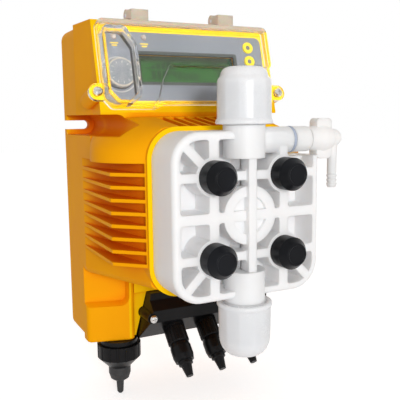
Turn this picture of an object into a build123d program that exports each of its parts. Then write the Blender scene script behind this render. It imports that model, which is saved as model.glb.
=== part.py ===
"""Wall-mounted solenoid diaphragm metering pump, modelled as separate pieces in millimetres.

Frame: +X to the right as seen from the front, +Y towards the wall, +Z up.
Origin: in the wall face, midway between the two wall slots.
"""

from build123d import *
from math import atan, cos, degrees, radians, sqrt, tan
import os

# ---------------------------------------------------------------- driving dimensions
case_width = 125.5
case_height = 204.5
case_wall = 3.0
case_corner = 7.0
rear_depth = 30.0  # depth of the rear half of the case
slot_height = 142.5  # wall slots, above the underside of the case
slot_width = 5.8
slot_depth = 15.5  # from the side of the case to the end of the slot
slot_flange = 5.0
channel_radius = 6.3  # screwdriver channel in front of each slot

panel_tilt = 15.0  # the panel leans back by this angle
panel_top_depth = 58.0  # wall face to the panel's top edge
panel_foot_height = 150.0
panel_edge_draft = 2.75  # the panel housing narrows by this on each side

drum_side = 95.0  # rounded square flange that carries the liquid end
drum_corner = 18.0
drum_height = 94.5  # drum axis above the underside of the case
drum_front = 112.0  # wall face to the front of the flange
flange_thick = 2.6
fin_count = 9
fin_pitch = 7.2
fin_thick = 2.0
fin_front = 94.8  # wall face to the start of the fins' slanted corner
top_fin_count = 9
top_fin_pitch = 7.0
top_fin_depth = 5.0  # below the front flange's top
belly_height = 51.8  # underside of the drum's belly at the front
belly_back = 46.8  # and at the back
shoulder_height = 136.2  # top of the side blocks at the back
roof_height = 149.2  # ridge of the drum's roof, where it starts inside the housing
roof_back = 60.0
roof_low = 118.0  # the roof starts here, inside the drum
roof_eave = 124.3  # top side fin

solenoid_radius = 39.6
armature_radius = 14.2
rod_radius = 4.0
stroke = 1.25

head_side = 90.0
head_thick = 27.7
head_corner = 16.0
head_rim = 4.2
rib_depth = 17.0
rib_wide = 5.6
rib_narrow = 4.8
screw_spacing = 43.1
screw_radius = 2.5  # M5
chamber_radius = 21.5

valve_depth = 133.3  # wall face to the valve axis
valve_offset = 48.2  # drum axis to the inner end of each union nut
neck_radius = 11.35
nut_radius = 14.9
nut_length = 30.2
hose_radius = 6.0  # hose of 12 mm outside diameter
ball_radius = 4.5
ball_lift = 1.2

bleed_height = 134.1
bleed_radius = 7.1
bleed_tail_x = 58.9
tail_radius = 2.75

foot_right = -32.2  # inner side of the left foot
foot_front = 47.0  # wall face to the foot's inner front corner
foot_slant = 8.6  # the front face falls back by this towards the left
foot_step = 24.0  # above this height the front face is set back
foot_recess = 5.2
foot_lip = 4.0  # left standing beside the set-back face
foot_corner = 3.5
foot_wall = 1.8  # at the foot's front and inner side
web_right = -19.0
gland_x = -40.9
gland_y = -35.7
gland_radius = 14.6
gland_thread = 5.5

box_left = -30.5
box_right = 61.5
box_front = 60.0
box_height = 31.0
box_wall = 2.4
box_screw_xs = (box_left + 5.6, box_right - 5.6)
box_screw_z = 17.0
box_boss = 3.6
slant_top = -22.4  # the box's left end leans to here at its top
plug_pitch = 24.0
plug_first_x = -7.5

# clearances
fit = 0.05  # running fit, radial
gap = 0.3  # loose gap between neighbours

# ---------------------------------------------------------------- derived places
half = case_width / 2
foot_z = -slot_height
axis_z = foot_z + drum_height
top_z = foot_z + case_height
panel_plane = Pos(0, -panel_top_depth, top_z) * Rot(X=90 - panel_tilt)
head_back = -drum_front
head_front = head_back - head_thick
valve_y = -valve_depth


def up(height):
    """Z of a height above the underside of the case."""
    return foot_z + height


def span(x0, x1, y0, y1, z0, z1):
    """Box between two corners."""
    return Pos((x0 + x1) / 2, (y0 + y1) / 2, (z0 + z1) / 2) * Box(x1 - x0, y1 - y0, z1 - z0)


def rod_x(y, z, x0, x1, radius):
    return Pos((x0 + x1) / 2, y, z) * Rot(Y=90) * Cylinder(radius, abs(x1 - x0))


def rod_y(x, z, y0, y1, radius):
    return Pos(x, (y0 + y1) / 2, z) * Rot(X=90) * Cylinder(radius, abs(y1 - y0))


def rod_z(x, y, z0, z1, radius):
    return Pos(x, y, (z0 + z1) / 2) * Cylinder(radius, abs(z1 - z0))


def lathe(*points):
    """Solid turned about Z from (radius, height) points."""
    return revolve(Plane.XZ * make_face(Polyline(*points, close=True)), Axis.Z)


def outline_x(points, x0, x1):
    """Prism along X from (y, z) points."""
    face = make_face(Polyline(*[(0, y, z) for y, z in points], close=True))
    return Pos(x0, 0, 0) * extrude(face, amount=x1 - x0, dir=(1, 0, 0))


def outline_z(points, z0, z1):
    """Prism along Z from (x, y) points."""
    face = make_face(Polyline(*[(x, y, 0) for x, y in points], close=True))
    return Pos(0, 0, z0) * extrude(face, amount=z1 - z0, dir=(0, 0, 1))


def outline_y(points, y0, y1):
    """Prism along Y from (x, z) points."""
    face = make_face(Polyline(*[(x, y0, z) for x, z in points], close=True))
    return extrude(face, amount=y1 - y0, dir=(0, 1, 0))


def mirrored(shape):
    """The shape and its mirror image across the middle of the case."""
    return shape + shape.mirror(Plane.YZ)


def rounded_square(side, corner, y0, y1, middle=None):
    """Rounded square prism along Y, centred on the drum axis."""
    middle = axis_z if middle is None else middle
    face = RectangleRounded(side, side, corner)
    return Pos(0, y0, middle) * Rot(X=90) * extrude(face, amount=y0 - y1)


def on_panel(x, down, z=0.0):
    """Place on the panel: x across, down from its top edge, z out of it."""
    return panel_plane * Pos(x, -down, z)


parts = {}

# ---------------------------------------------------------------- case
fin_first = axis_z - (fin_count - 1) / 2 * fin_pitch
channel_x = half - slot_depth + slot_width / 2  # middle of the slot's round end
panel_slope = tan(radians(panel_tilt))
panel_foot_depth = panel_top_depth + (case_height - panel_foot_height) * panel_slope


def side_channels(y_front, y_back):
    """Half-round screwdriver channels, open to both sides of the case."""
    side = rod_y(-channel_x, 0, y_front, y_back, channel_radius)
    side += span(-half - 5, -channel_x, y_front, y_back, -channel_radius, channel_radius)
    return mirrored(side)


def wall_slots():
    side = rod_y(-channel_x, 0, -slot_flange - 1, 1, slot_width / 2)
    side += span(-half - 5, -channel_x, -slot_flange - 1, 1, -slot_width / 2, slot_width / 2)
    return mirrored(side)


board_y = -14.0  # back face of the control board
board_hole_x = 44.0
board_low = 12.0
board_high = 132.0
board_holes = [(x, up(height)) for x in (-board_hole_x, board_hole_x) for height in (board_low + 8,
    board_high - 20)]
screw_low = 9.0
screw_high = 196.0
case_screw_x = 54.0
case_screw_radius = 1.5
case_screw_tip = -rear_depth - 7  # y of the screw's end, in the front half


def build_rear_case():
    shell = span(-half, half, -rear_depth, 0, foot_z, top_z)
    shell = fillet(shell.edges().filter_by(Axis.Y), case_corner)
    inside = half - case_wall
    inner = span(-inside, inside, -rear_depth - 1, -case_wall, foot_z + case_wall, top_z - case_wall)
    inner = fillet(inner.edges().filter_by(Axis.Y), case_corner - case_wall)
    ledge = channel_radius + case_wall
    keep = span(-half, -channel_x + ledge, -rear_depth, 0, -ledge, ledge)
    inner -= mirrored(keep)
    shell -= inner
    shell -= side_channels(-rear_depth - 1, -slot_flange)
    shell -= wall_slots()
    for x, z in board_holes:
        shell += rod_y(x, z, -case_wall, board_y, pillar_radius)
        shell -= rod_y(x, z, -case_wall - 3, board_y - 1, board_screw_radius + fit)
    for x in (-case_screw_x, case_screw_x):
        for height in (screw_low, screw_high):
            shell += rod_y(x, up(height), -rear_depth, 0, 4.5)
            shell -= rod_y(x, up(height), -rear_depth - 1, 1, 1.8)
            shell -= rod_y(x, up(height), -slot_flange, 1, 3.4)
    return shell


# floor of the spaces between the side fins: (x, y) at its back and front
floor_back = (half, -rear_depth - 9.7)
floor_front = (drum_side / 2 - 1.5, -drum_front + flange_thick)


def drum_envelope(y_back):
    """Side blocks of the drum: the fins at their full reach, and the smooth belly under them."""
    reach = drum_side / 2
    slant = half - reach
    side = [(half, y_back), (half, -fin_front), (reach, -fin_front - slant)]
    points = side + [(-x, y) for x, y in reversed(side)]
    lowest = fin_first - fin_thick / 2
    fins = outline_z(points, lowest, lowest + (fin_count - 1) * fin_pitch + fin_thick)
    side = [(half, y_back), floor_back, floor_front]
    points = side + [(-x, y) for x, y in reversed(side)]
    belly = outline_z(points, up(belly_back), lowest + 1)
    under = [
        (y_back + 1, up(belly_back)),
        (y_back, up(belly_back)),
        (-drum_front, up(belly_height)),
        (-drum_front, up(belly_back) - 1),
        (y_back + 1, up(belly_back) - 1),
    ]
    belly -= outline_x(under, -half - 1, half + 1)
    bottom = belly.faces().sort_by(Axis.Z)[0].edges()
    belly = fillet([edge for edge in bottom if abs(edge.center().X) > reach / 2], 5)
    return fins + belly


def roof_section(y, foot, knee, shoulder, ridge):
    """Cross-section of the roof in the plane at y; each corner is (x, height)."""
    corners = [foot, (foot[0], roof_eave), knee, shoulder, ridge]
    sides = []
    for sign in (-1, 1):
        low, eave, *bend = [(sign * x, y, up(height)) for x, height in corners]
        sides.append(Line(low, eave))
        sides.append(Spline(eave, *bend, tangents=[(0, 0, 1), (-sign, 0, 0)]))
    across = [Line((-x, y, up(height)), (x, y, up(height))) for x, height in (foot, ridge)]
    return make_face(sides + across)


def drum_roof():
    """Sloping top of the drum, from the housing's foot down to the front flange."""
    sections = [
        (-roof_back, (half, roof_low), (half - 1.2, shoulder_height), (53.3, 145.4), (29.0, roof_height)),
        (-fin_front, (half, roof_low), (57.5, 134.2), (45.5, 141.6), (29.4, 144.2)),
        (-drum_front + 2.2, (47.5, roof_low), (46.3, 131.2), (41.1, 138.4), (29.5, 142.0)),
    ]
    behind = span(-half, half, -roof_back, -rear_depth, up(roof_low), up(shoulder_height))
    return loft([roof_section(*places) for places in sections]) + behind


def fin_gaps():
    """Spaces between the side fins, down to a slanted floor."""
    gaps = None
    for i in range(fin_count - 1):
        z0 = fin_first + i * fin_pitch + fin_thick / 2
        z1 = z0 + fin_pitch - fin_thick
        outside = half + 9
        points = [floor_back, (outside, floor_back[1]), (outside, floor_front[1]), floor_front]
        wedge = outline_z(points, z0, z1)
        gaps = wedge if gaps is None else gaps + wedge
    return mirrored(gaps)


def top_fin_gaps():
    reach = (top_fin_count - 1) / 2 * top_fin_pitch
    top = axis_z + drum_side / 2
    gaps = None
    for i in range(top_fin_count - 1):
        x0 = -reach + i * top_fin_pitch + fin_thick / 2
        x1 = x0 + top_fin_pitch - fin_thick
        slot = span(x0, x1, -drum_front + flange_thick, -panel_foot_depth - 3, top - top_fin_depth, top + 8)
        gaps = slot if gaps is None else gaps + slot
    return gaps


window_w = 66.0
window_top = 20.5
window_bottom = 37.8
label_w = 112.0
label_top = 5.5
label_bottom = 51.0
label_thick = 0.5
key_x = 44.5
key_first = 14.0
key_pitch = 9.2
key_count = 4
key_radius = 3.6
lamp_radius = 1.6
lamp_down = 10.3
lamp_xs = (-47.0, -28.0)
dial_x = -46.0
dial_down = 33.5
dial_radius = 9.2
dial_shaft = 3.0
ear_x = 61.4
ear_down = 45.0
ear_radius = 5.0
cover_screw_radius = 1.5
hinge_xs = (-30.3, 28.3)
hinge_width = 11.0
hinge_y = -52.0
hinge_rise = 4.2
hinge_pin = 1.25
post_width = 4.6
bore_radius = solenoid_radius + gap + 0.1
bore_back = -38.0
hinge_z = top_z + hinge_rise
display_back = -8.4  # front of the display board, behind the panel's face
display_screws = [(-37.5, 11.5), (36.0, 11.5), (-34.0, 45.5), (34.0, 45.5)]  # across, down
board_thick = 1.6
board_screw_radius = 1.25
board_screw_hole = 1.5
board_screw_length = 7.0
pillar_radius = 3.5


def key_places():
    return [on_panel(key_x, key_first + i * key_pitch) for i in range(key_count)]


def foot_set_back(foot_left):
    """What the foot's slanted front face loses above its step, down to a sloping lip."""
    width = foot_right + half
    length = sqrt(width ** 2 + foot_slant ** 2)
    face = Plane((-half, foot_left, up(foot_step)), (width, -foot_slant, 0), (foot_slant, width, 0))
    x0, x1, y1 = -20, length - foot_lip, 60
    outline = Pos((x0 + x1) / 2, -y1 / 2) * Rectangle(x1 - x0, y1)
    outline = fillet(outline.vertices().group_by(Axis.X)[-1], 6)
    return face * extrude(outline, amount=foot_recess, taper=25)


def build_front_case():
    draft = panel_edge_draft
    housing = outline_z(
        [
            (-half, -rear_depth),
            (half, -rear_depth),
            (half - draft, -panel_top_depth),
            (half - draft, -panel_foot_depth - 8),
            (-half + draft, -panel_foot_depth - 8),
            (-half + draft, -panel_top_depth),
        ],
        up(shoulder_height - 10),
        top_z,
    )
    profile = outline_x(
        [
            (-rear_depth, top_z),
            (-panel_top_depth, top_z),
            (-panel_foot_depth, up(panel_foot_height)),
            (-panel_foot_depth + 2, up(shoulder_height - 10)),
            (-rear_depth, up(shoulder_height - 10)),
        ],
        -half - 1,
        half + 1,
    )
    housing = housing & profile
    housing = fillet(housing.edges().filter_by(Axis.Y).sort_by(Axis.Z)[-2:], case_corner)
    drum = rounded_square(drum_side, drum_corner, -rear_depth, head_back)
    drum += drum_envelope(-rear_depth) + drum_roof()
    # lower part: a block under the drum, the left foot, which carries the cable gland, and a web beside it
    back_y = -foot_front + 3
    web_y = -42.0
    under = span(foot_right, half, back_y, -rear_depth, up(box_height + gap), up(belly_height + 8))
    web = outline_y(
        [(foot_right - 1, up(1.5)), (box_left - gap, up(1.5)), (slant_top - gap, up(box_height)),
         (web_right, up(46)), (web_right, up(56)), (foot_right - 1, up(56))],
        web_y, -rear_depth,
    )
    web -= rod_y(box_screw_xs[0], up(box_screw_z), web_y - 1, -rear_depth + 1, box_boss + gap)
    foot_left = -foot_front + foot_slant  # y of the foot's front at its left side
    foot = outline_z(
        [(-half, -rear_depth), (-half, foot_left), (foot_right, -foot_front), (foot_right, -rear_depth)],
        foot_z, up(belly_height + 4),
    )
    foot = fillet(foot.edges().filter_by(Axis.Z).sort_by(Axis.Y)[:2], foot_corner)
    foot = fillet(foot.faces().sort_by(Axis.Z)[0].outer_wire().edges().sort_by(Axis.Y)[:4], 1.6)
    foot -= foot_set_back(foot_left)
    body = housing + drum + under + web + foot
    body -= fin_gaps()
    body -= top_fin_gaps()
    body -= side_channels(-panel_foot_depth - 20, -rear_depth + 1)
    # ear bosses for the cover screws and posts for the cover hinges
    boss = on_panel(-ear_x, ear_down, -8) * Cylinder(ear_radius, 16)
    body += mirrored(boss)
    for x in hinge_xs:
        x0, x1 = x - post_width / 2, x + post_width / 2
        post = span(x0, x1, hinge_y - 2.6, hinge_y + 2.6, top_z - 1, hinge_z)
        post += rod_x(hinge_y, hinge_z, x0, x1, 2.6)
        body += post - rod_x(hinge_y, hinge_z, x0 - 1, x1 + 1, hinge_pin + 0.02)
    # hollows
    room = outline_z(
        [
            (-half + case_wall, -rear_depth + 1),
            (half - case_wall, -rear_depth + 1),
            (half - draft - case_wall, -panel_top_depth),
            (half - draft - case_wall, -panel_foot_depth),
            (-half + draft + case_wall, -panel_foot_depth),
            (-half + draft + case_wall, -panel_top_depth),
        ],
        up(panel_foot_height + 3),
        top_z - case_wall,
    )
    shift = case_wall / cos(radians(panel_tilt))
    cut = outline_x(
        [
            (-rear_depth + 2, top_z),
            (-panel_top_depth + shift, top_z),
            (-panel_foot_depth + shift, up(panel_foot_height)),
            (-rear_depth + 2, up(panel_foot_height)),
        ],
        -half - 1,
        half + 1,
    )
    room = room & cut
    body -= room
    body -= rod_y(0, axis_z, bore_back, head_back - 1, bore_radius)
    body -= rod_y(0, axis_z, -rear_depth + 1, bore_back - 1, bore_radius - 8)
    # passage between the panel room and the drum room, and the foot's hollow
    body -= span(-30, 30, bore_back + 1, -rear_depth + 1, axis_z, up(panel_foot_height + 4))
    foot_room = outline_z(
        [
            (-half + case_wall, -rear_depth + 1),
            (-half + case_wall, foot_left + foot_wall),
            (foot_right - foot_wall, -foot_front + foot_wall),
            (foot_right - foot_wall, -rear_depth + 1),
        ],
        foot_z + case_wall,
        up(foot_step - foot_recess),
    )
    body -= foot_room
    body -= rod_z(gland_x, gland_y, foot_z - 1, foot_z + case_wall + 1, gland_thread + fit)
    body -= rod_z(0, -drum_front + 3.5, axis_z - drum_side / 2 - 1, axis_z - bore_radius + 1, 1.5)
    # panel openings
    body -= on_panel(0, (label_top + label_bottom) / 2, -label_thick / 2) * Box(
        label_w, label_bottom - label_top, label_thick + 0.001
    )
    body -= on_panel(0, (window_top + window_bottom) / 2, -case_wall) * Box(
        window_w, window_bottom - window_top, 4 * case_wall
    )
    for place in key_places():
        body -= place * Cylinder(key_radius + 0.15, 4 * case_wall)
    for x in lamp_xs:
        body -= on_panel(x, lamp_down) * Cylinder(lamp_radius + fit, 4 * case_wall)
    for x, down in display_screws:
        length = -display_back - case_wall + 0.5
        body += on_panel(x, down, display_back + length / 2) * Cylinder(pillar_radius, length)
        body -= on_panel(x, down, display_back) * Cylinder(board_screw_radius + fit,
            2 * board_screw_length - 2)
    body -= on_panel(dial_x, dial_down) * Cylinder(dial_shaft + fit, 4 * case_wall)
    hole = on_panel(-ear_x, ear_down, -7) * Cylinder(cover_screw_radius + 0.5, 16)
    body -= mirrored(hole)
    for x, height in ((-case_screw_x, screw_low), (-case_screw_x, screw_high), (case_screw_x, screw_high)):
        body += rod_y(x, up(height), -rear_depth, case_screw_tip - 2.2, 4.5)
        if height == screw_high:
            body += span(x - 1.5, x + 1.5, case_screw_tip - 2.2, -rear_depth, up(height), top_z - 1)
        body -= rod_y(x, up(height), -rear_depth + 1, case_screw_tip - 1, case_screw_radius + fit)
    return body


parts["rear_case"] = build_rear_case()
parts["front_case"] = build_front_case()

# ---------------------------------------------------------------- screws that hold the case halves
def cap_screw(radius, head_radius, head_length, length, socket):
    """Screw along +Z, its head's underside at z = 0 and its shank below it."""
    screw = Pos(0, 0, head_length / 2) * Cylinder(head_radius, head_length)
    screw += Pos(0, 0, -length / 2) * Cylinder(radius, length)
    cut = Pos(0, 0, head_length - socket / 2) * extrude(RegularPolygon(socket, 6), amount=socket / 2 + 1)
    return screw - cut


def case_screws():
    # inserted from the wall side, so that the heads are behind the case
    length = -slot_flange - case_screw_tip
    screw = cap_screw(case_screw_radius, 2.9, 2.6, length, 1.5)
    places = [(x, height) for x in (-case_screw_x, case_screw_x) for height in (screw_low, screw_high)]
    return Compound([(Pos(x, -slot_flange, up(h)) * Rot(X=-90) * screw).solids()[0] for x, h in places])


parts["case_screws"] = case_screws()


# ---------------------------------------------------------------- panel pieces
def panel_slab(x0, x1, down0, down1, z0, z1):
    return on_panel((x0 + x1) / 2, (down0 + down1) / 2, (z0 + z1) / 2) * Box(x1 - x0, down1 - down0, z1 - z0)


def label_film():
    edge = 0.15
    film = panel_slab(-label_w / 2 + edge, label_w / 2 - edge, label_top + edge, label_bottom - edge,
        -label_thick, 0)
    film -= panel_slab(-window_w / 2, window_w / 2, window_top, window_bottom, -1, 1)
    for place in key_places():
        film -= place * Cylinder(key_radius + 0.15, 3)
    for x in lamp_xs:
        film -= on_panel(x, lamp_down) * Cylinder(lamp_radius + 0.15, 3)
    film -= on_panel(dial_x, dial_down) * Cylinder(dial_shaft + gap, 3)
    return film


module_front = -3.4


def display_window():
    pane = panel_slab(-window_w / 2 + fit, window_w / 2 - fit, window_top + fit, window_bottom - fit, -2.0,
        -0.1)
    return pane


def display_module():
    module = panel_slab(-window_w / 2 - 4, window_w / 2 - 3, window_top - 2, window_bottom + 2,
        display_back, module_front)
    return module


def display_board():
    board = panel_slab(-52, 52, 7, 50, display_back - board_thick, display_back)
    for x, down in display_screws:
        board -= on_panel(x, down, display_back) * Cylinder(board_screw_hole, 3 * board_thick)
    return board


key_top = 0.9
switch_top = -5.6


def key_cap(place):
    cap = place * Pos(0, 0, (key_top - 3.6) / 2) * Cylinder(key_radius, key_top + 3.6)
    cap += place * Pos(0, 0, -3.9) * Cylinder(key_radius + 0.9, 0.6)
    cap -= place * Pos(0, 0, key_top) * Cylinder(key_radius - 1.6, 0.6)
    stem = place * Pos(0, 0, (-4.2 + switch_top + 0.6) / 2) * Cylinder(1.4, -switch_top - 0.6 - 4.2)
    return cap + stem


def key_switches():
    height = switch_top - display_back
    return [place * Pos(0, 0, display_back + height / 2) * Box(6, 6, height) for place in key_places()]


def display_parts():
    """Display module, dial sensor and key switches, which stand on the display board."""
    return Compound([shape.solids()[0] for shape in (display_module(), stroke_sensor(), *key_switches())])


def status_lamps():
    lamps = []
    for x in lamp_xs:
        lamp = on_panel(x, lamp_down, -1.4) * Cylinder(lamp_radius, 3.6)
        lamp += on_panel(x, lamp_down, 0.4) * Sphere(lamp_radius)
        lamp += on_panel(x, lamp_down, (display_back - 3.2) / 2) * Cylinder(lamp_radius, -display_back - 3.2)
        lamp += on_panel(x, lamp_down, -3.9) * Cylinder(2.2, 1.4)
        lamps.append(lamp.solids()[0])
    return Compound(lamps)


dial_top = 7.2
grip_length = 11.0


def stroke_dial():
    """Dial with a fluted rim and a grip bar, on a shaft that passes through the panel."""
    dial = lathe((0, 0.4), (dial_radius, 0.4), (dial_radius, 4.2), (dial_radius - 1.2, 5.0), (0, 5.0))
    dial += Pos(0, 0, (5.0 + dial_top) / 2) * Box(3.4, grip_length, dial_top - 5.0)
    for i in range(24):
        turn = Rot(Z=15 * i)
        dial -= turn * Pos(dial_radius + 0.35, 0, 2.2) * Cylinder(0.8, 5)
    dial += Pos(0, 0, -3.0) * Cylinder(dial_shaft, 7.0)
    return on_panel(dial_x, dial_down) * dial


def stroke_sensor():
    """Body that the dial's shaft turns in, on the display board."""
    body = on_panel(dial_x, dial_down, (display_back - 3.3) / 2) * Box(12, 12, -display_back - 3.3)
    return body - on_panel(dial_x, dial_down, -3.0) * Cylinder(dial_shaft + fit, 7.2)


parts["label_film"] = label_film()
parts["display_window"] = display_window()
parts["display_parts"] = display_parts()
parts["display_board"] = display_board()
parts["status_lamps"] = status_lamps()
for number, place in enumerate(key_places(), 1):
    parts[f"panel_key_{number}"] = key_cap(place)
parts["stroke_dial"] = stroke_dial()

# ---------------------------------------------------------------- clear cover
cover_wall = 1.8
cover_seat = 0.3  # gap between the cover's rim and the panel
cover_half = 58.5
cover_right = 57.5
cover_top = 1.5
cover_bottom = 55.0
cover_level = 7.0  # outside of the main face above the panel
bulge_level = 15.2
recess_level = 4.2
bulge_right = -38.0
bulge_top = 9.0
recess_start = 30.0
recess_bottom = 52.5
cover_corner = 4.0
cover_edge = 1.2


def cover_sketch(points):
    """Face on the panel plane from (x, down) points."""
    return make_face(Polyline(*[(x, -down) for x, down in points], close=True))


def cover_layer(points, level, inset):
    """One level of the cover, rounded in outline and, on its outside, along its top edge."""
    face = cover_sketch(points)
    face = fillet(face.vertices(), cover_corner - inset)
    layer = extrude(face, amount=level - inset - cover_seat)
    if inset:
        return layer
    return fillet(layer.faces().sort_by(Axis.Z)[-1].edges(), cover_edge)


def cover_levels(inset):
    """Solid of the cover's outside, or of its inside where inset is its wall."""
    left = -cover_half + inset
    right = cover_right - inset
    top = cover_top + inset
    low = cover_bottom - inset
    recess_low = recess_bottom - inset
    corner = [(left + 5, low), (left, low - 6)]
    whole = [(left, top), (right, top), (right, recess_low), (-20, recess_low), (-26, low), *corner]
    raised = [(left, top), (right, top), (right, recess_start - inset),
        (-13.7 - inset / 2, recess_start - inset),
              (-18.6 - inset, 38), (-22 - inset, 48.5), (-27 - inset / 2, low), *corner]
    bulge = [(left, bulge_top + inset), (-44 - inset, bulge_top + inset), (bulge_right - inset, 20),
             (bulge_right - inset, low - 5), (-44 - inset, low), *corner]
    solid = cover_layer(whole, recess_level, inset)
    solid += cover_layer(raised, cover_level, inset)
    return solid + cover_layer(bulge, bulge_level, inset)


def clear_cover():
    shell = panel_plane * Pos(0, 0, cover_seat) * cover_levels(0)
    hollow = panel_plane * Pos(0, 0, cover_seat - 0.01) * cover_levels(cover_wall)
    shell -= hollow
    for side in (-1, 1):
        ear = on_panel(side * ear_x, ear_down, cover_seat + 1.7) * Cylinder(ear_radius, 3.4)
        ends = sorted((side * ear_x, side * (cover_half - 3)))
        ear += panel_slab(*ends, ear_down - ear_radius, ear_down + ear_radius, cover_seat, cover_seat + 3.4)
        shell += ear
        shell -= on_panel(side * ear_x, ear_down) * Cylinder(cover_screw_radius + 0.15, 20)
    # hinge lugs: two cheeks at each post, on a strip that runs over the case's top edge
    cheek = (hinge_width - post_width) / 2 - gap
    front_y = -panel_top_depth - 3
    for x in hinge_xs:
        for side in (-1, 1):
            x0 = x + side * (post_width / 2 + gap)
            x1 = x0 + side * cheek
            low, high = min(x0, x1), max(x0, x1)
            lug = rod_x(hinge_y, hinge_z, low, high, 3.6)
            lug += span(low, high, front_y, hinge_y, hinge_z - 2.6, hinge_z + 2.6)
            lug -= rod_x(hinge_y, hinge_z, low - 1, high + 1, hinge_pin + fit)
            shell += lug
        strip = span(
            x - hinge_width / 2, x + hinge_width / 2, front_y - 1.2, -panel_top_depth - 1.0,
            top_z - 2.0, hinge_z + 2.6,
        )
        shell += strip
    shell -= hollow
    return shell


def hinge_pins():
    pins = []
    for x in hinge_xs:
        pin = rod_x(hinge_y, hinge_z, x - hinge_width / 2 + 0.2, x + hinge_width / 2 - 0.2, hinge_pin)
        pins.append(pin.solids()[0])
    return Compound(pins)


def cover_screws():
    screws = []
    for side in (-1, 1):
        screw = lathe((0, 0), (2.8, 0), (2.8, 0.9), (1.9, 1.9), (0, 2.1))
        screw -= Pos(0, 0, 1.9) * Box(3.2, 0.7, 1.6)
        screw -= Pos(0, 0, 1.9) * Box(0.7, 3.2, 1.6)
        screw += Pos(0, 0, -4.5) * Cylinder(cover_screw_radius, 9.0)
        screws.append((on_panel(side * ear_x, ear_down, cover_seat + 3.4) * screw).solids()[0])
    return Compound(screws)


parts["clear_cover"] = clear_cover()
parts["hinge_pins"] = hinge_pins()
parts["cover_screws"] = cover_screws()

# ---------------------------------------------------------------- liquid end
boss_radius = 10.5
ring_outer = 16.0
flow_radius = 2.5  # passages from the chamber to the valves
ring_inner = 10.3
quarter_depth = 2.2  # pockets inside the middle ring
neck_end = valve_offset  # drum axis to the end of each neck
valve_bore = 8.6
valve_bore_depth = 31.5  # drum axis to the blind end of each valve bore
notch_x = 23.6
notch_z = 30.5  # above the drum axis
bleed_shank = 5.4
bleed_bore_start = 14.0


def head_pockets():
    """Pockets between the ribs of the head's face."""
    edge = head_side / 2 - head_rim
    screw = screw_spacing / 2
    middle = rib_narrow / 2
    xs = [(-edge, -screw - rib_wide / 2), (-screw + rib_wide / 2, -middle), (middle, screw - rib_wide / 2),
          (screw + rib_wide / 2, edge)]
    zs = [(-edge, -screw - rib_narrow / 2), (-screw + rib_narrow / 2, -rib_wide / 2),
          (rib_wide / 2, screw - rib_narrow / 2), (screw + rib_narrow / 2, edge)]
    cells = None
    for x0, x1 in xs:
        for z0, z1 in zs:
            cell = span(x0, x1, head_front - 1, head_front + rib_depth, axis_z + z0, axis_z + z1)
            cell = fillet(cell.edges().filter_by(Axis.Y), 1.4)
            cells = cell if cells is None else cells + cell
    # the corner cells follow the rounded rim
    cells &= rounded_square(2 * edge, head_corner - head_rim, head_front + rib_depth + 1, head_front - 1)
    cells -= rod_y(0, axis_z, head_front - 2, head_back, ring_outer)
    for x in (-screw, screw):
        for z in (-screw, screw):
            cells -= rod_y(x, axis_z + z, head_front - 2, head_back, boss_radius)
            turn = 45 if x * z < 0 else -45
            rib = Rot(Y=turn) * Box(34, rib_depth + 4, rib_narrow)
            sx, sz = (1 if x > 0 else -1), (1 if z > 0 else -1)
            cells -= Pos(x + sx * 14, head_front + rib_depth / 2, axis_z + z + sz * 14) * rib
    # quarter pockets inside the middle ring
    quarter = rod_y(0, axis_z, head_front - 1, head_front + quarter_depth, ring_inner)
    quarter -= span(-middle, middle, head_front - 2, head_front + 6, axis_z - 20, axis_z + 20)
    quarter -= span(-20, 20, head_front - 2, head_front + 6, axis_z - rib_wide / 2, axis_z + rib_wide / 2)
    return cells + quarter


def pump_head():
    head = rounded_square(head_side, head_corner, head_back, head_front)
    head = fillet(head.faces().sort_by(Axis.Y)[0].outer_wire().edges(), 2.6)
    head -= head_pockets()
    # raised middle rib and valve bosses
    head += span(-rib_narrow / 2, rib_narrow / 2, head_front - 2.8, head_front + 4, axis_z - 34, axis_z + 34)
    for sign in (-1, 1):
        inner, outer = axis_z + sign * (valve_bore_depth - 1), axis_z + sign * neck_end
        boss = rod_z(0, valve_y, min(inner, outer), max(inner, outer), neck_radius)
        head += boss
    # notch at the upper right for the bleed valve, and the bleed valve's boss
    top = head_side / 2
    notch = span(notch_x, top + 1, head_front - 5, head_back + 1, axis_z + notch_z, axis_z + top + 1)
    notch = fillet(notch.edges().filter_by(Axis.Y), 2)
    head -= notch
    bleed_z = up(bleed_height)
    head += rod_x(valve_y, bleed_z, 0, notch_x + 4.2, bleed_radius)
    # bores
    for sign in (-1, 1):
        blind, mouth = axis_z + sign * valve_bore_depth, axis_z + sign * (neck_end + 1)
        head -= rod_z(0, valve_y, min(blind, mouth), max(blind, mouth), valve_bore)
    head -= rod_z(0, valve_y, axis_z - valve_bore_depth - 1, axis_z + valve_bore_depth + 1, flow_radius)
    head -= rod_y(0, axis_z, head_back + 1, valve_y, flow_radius + 0.6)
    chamber = lathe((0, 1), (chamber_radius, 1), (chamber_radius, -0.6), (12.5, -3.0), (0, -3.0))
    head -= Pos(0, head_back, axis_z) * Rot(X=-90) * chamber
    head -= rod_x(valve_y, bleed_z, bleed_bore_start, notch_x + 6, bleed_shank + fit)
    head -= rod_x(valve_y, bleed_z, 5, bleed_bore_start, 1.5)
    screw = screw_spacing / 2
    for x in (-screw, screw):
        for z in (-screw, screw):
            head -= rod_y(x, axis_z + z, head_front - 1, head_back + 1, screw_radius + 0.2)
    return head


parts["pump_head"] = pump_head()


def at_screws(shape, y):
    """The shape, built along +Z, at each head screw and turned to face forward."""
    screw = screw_spacing / 2
    copies = []
    for x in (-screw, screw):
        for z in (-screw, screw):
            copies.append((Pos(x, y, axis_z + z) * Rot(X=90) * shape).solids()[0])
    return Compound(copies)


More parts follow.
